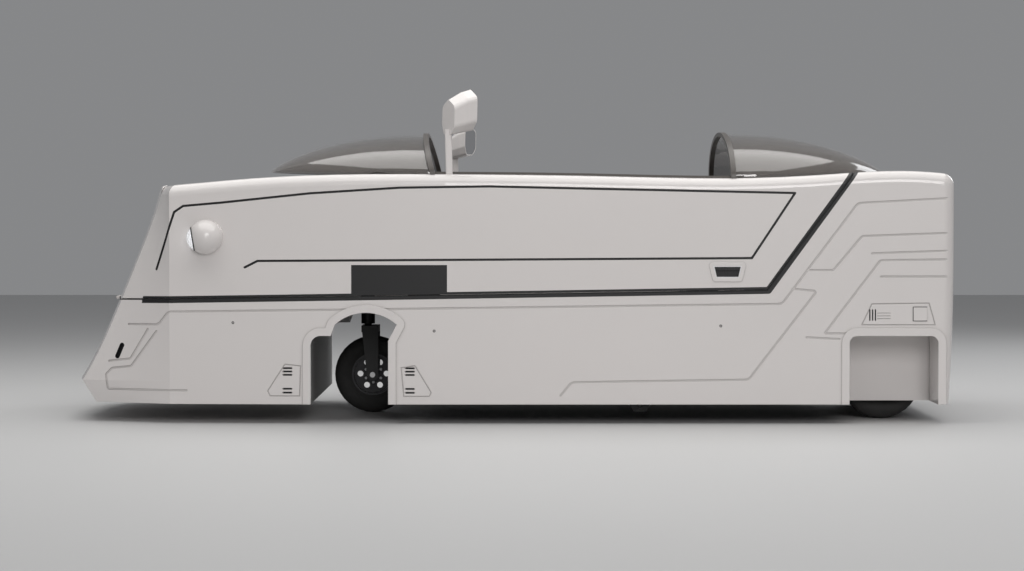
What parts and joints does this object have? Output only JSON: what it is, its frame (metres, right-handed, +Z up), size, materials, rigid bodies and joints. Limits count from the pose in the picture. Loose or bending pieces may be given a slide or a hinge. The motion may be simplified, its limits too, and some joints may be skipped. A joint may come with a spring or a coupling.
{
  "type": "three wheeled car",
  "caption": "Slab-sided white microcar on a steered front wheel and a rear pair, with an open cockpit between two smoked bubbles and a nose-hinged upper shell.",
  "frame": {"origin": "on the ground under the middle of the car's box", "axes": "+Z up, -X toward the nose, -Y toward the car's left side"},
  "size_m": [3.2, 1.294, 1.2015],
  "materials": {
    "white_body": "smooth white gloss gelcoat",
    "floor_grey": "textured dark grey laminate",
    "black_steel": "black powder coat",
    "steel": "turned steel",
    "cast_block": "plain casting",
    "leather": "black grained leather",
    "dark_trim": "satin dark grey brown",
    "black_gloss": "black gloss",
    "smoke_glass": "smoked clear sheet",
    "lamp_glass": "clear lamp glass",
    "red_lens": "red lamp lens",
    "mirror": "mirror glass",
    "rim_metal": "dark satin",
    "tyre": "black rubber"
  },
  "bodies": {
    "body": {"lower_body": "white_body", "floor_pan": "floor_grey", "front_bay": "white_body", "rear_recess_left": "white_body", "rear_recess_right": "white_body", "rear_bulkhead": "floor_grey", "chassis_rails": "black_steel", "tie_down_brackets": "black_steel", "motor_block": "cast_block", "seat_shell": "dark_trim", "seat_cushion": "leather", "back_cushion": "leather", "dash_panel": "dark_trim", "steering_column": "black_steel", "pedals": "black_steel", "steering_head": "black_steel", "rear_axle": "black_steel", "rear_arms": "black_steel", "tail_lamps": "red_lens", "hinge_brackets": "black_steel"},
    "shell": {"upper_shell": "white_body", "cockpit_coaming": "dark_trim", "front_bubble": "smoke_glass", "rear_bubble": "smoke_glass", "front_hoop": "dark_trim", "rear_hoop": "dark_trim", "headlamp_left": "white_body", "headlamp_right": "white_body", "headlamp_lens_left": "lamp_glass", "headlamp_lens_right": "lamp_glass", "mirror_stalks": "white_body", "mirror_head_left": "white_body", "mirror_head_right": "white_body", "mirror_glasses": "mirror", "flush_handles": "black_gloss", "hinge_arms": "black_steel"},
    "fork": {"front_fork": "black_steel", "front_axle": "steel"},
    "front_wheel": {"front_rim": "rim_metal", "front_tyre": "tyre"},
    "rear_wheel_left": {"rear_rim_left": "rim_metal", "rear_tyre_left": "tyre"},
    "rear_wheel_right": {"rear_rim_right": "rim_metal", "rear_tyre_right": "tyre"},
    "hand_wheel": {"steering_wheel": "leather"}
  },
  "joints": [
    {"name": "shell_hinge", "type": "hinge", "parent": "body", "child": "shell", "pos_m": [-1.468, 0, 0.441], "axis": [0, -1, 0], "range_deg": [0, 45]},
    {"name": "front_steering", "type": "hinge", "parent": "body", "child": "fork", "pos_m": [-0.53712, 0, 0.4], "axis": [0, 0, 1], "range_deg": [-30, 30]},
    {"name": "front_wheel_spin", "type": "hinge", "parent": "fork", "child": "front_wheel", "pos_m": [-0.51712, 0, 0.145], "axis": [0, 1, 0], "continuous": true},
    {"name": "rear_wheel_left_spin", "type": "hinge", "parent": "body", "child": "rear_wheel_left", "pos_m": [1.37, -0.3, 0.145], "axis": [0, 1, 0], "continuous": true},
    {"name": "rear_wheel_right_spin", "type": "hinge", "parent": "body", "child": "rear_wheel_right", "pos_m": [1.37, 0.3, 0.145], "axis": [0, 1, 0], "continuous": true},
    {"name": "steering_wheel_turn", "type": "hinge", "parent": "body", "child": "hand_wheel", "pos_m": [0.05988, 0, 0.69], "axis": [0.829, 0, 0.5592], "range_deg": [-90, 90]}
  ],
  "couplings": [
    {"joint": "steering_wheel_turn", "follows": "front_steering", "ratio": 3}
  ]
}
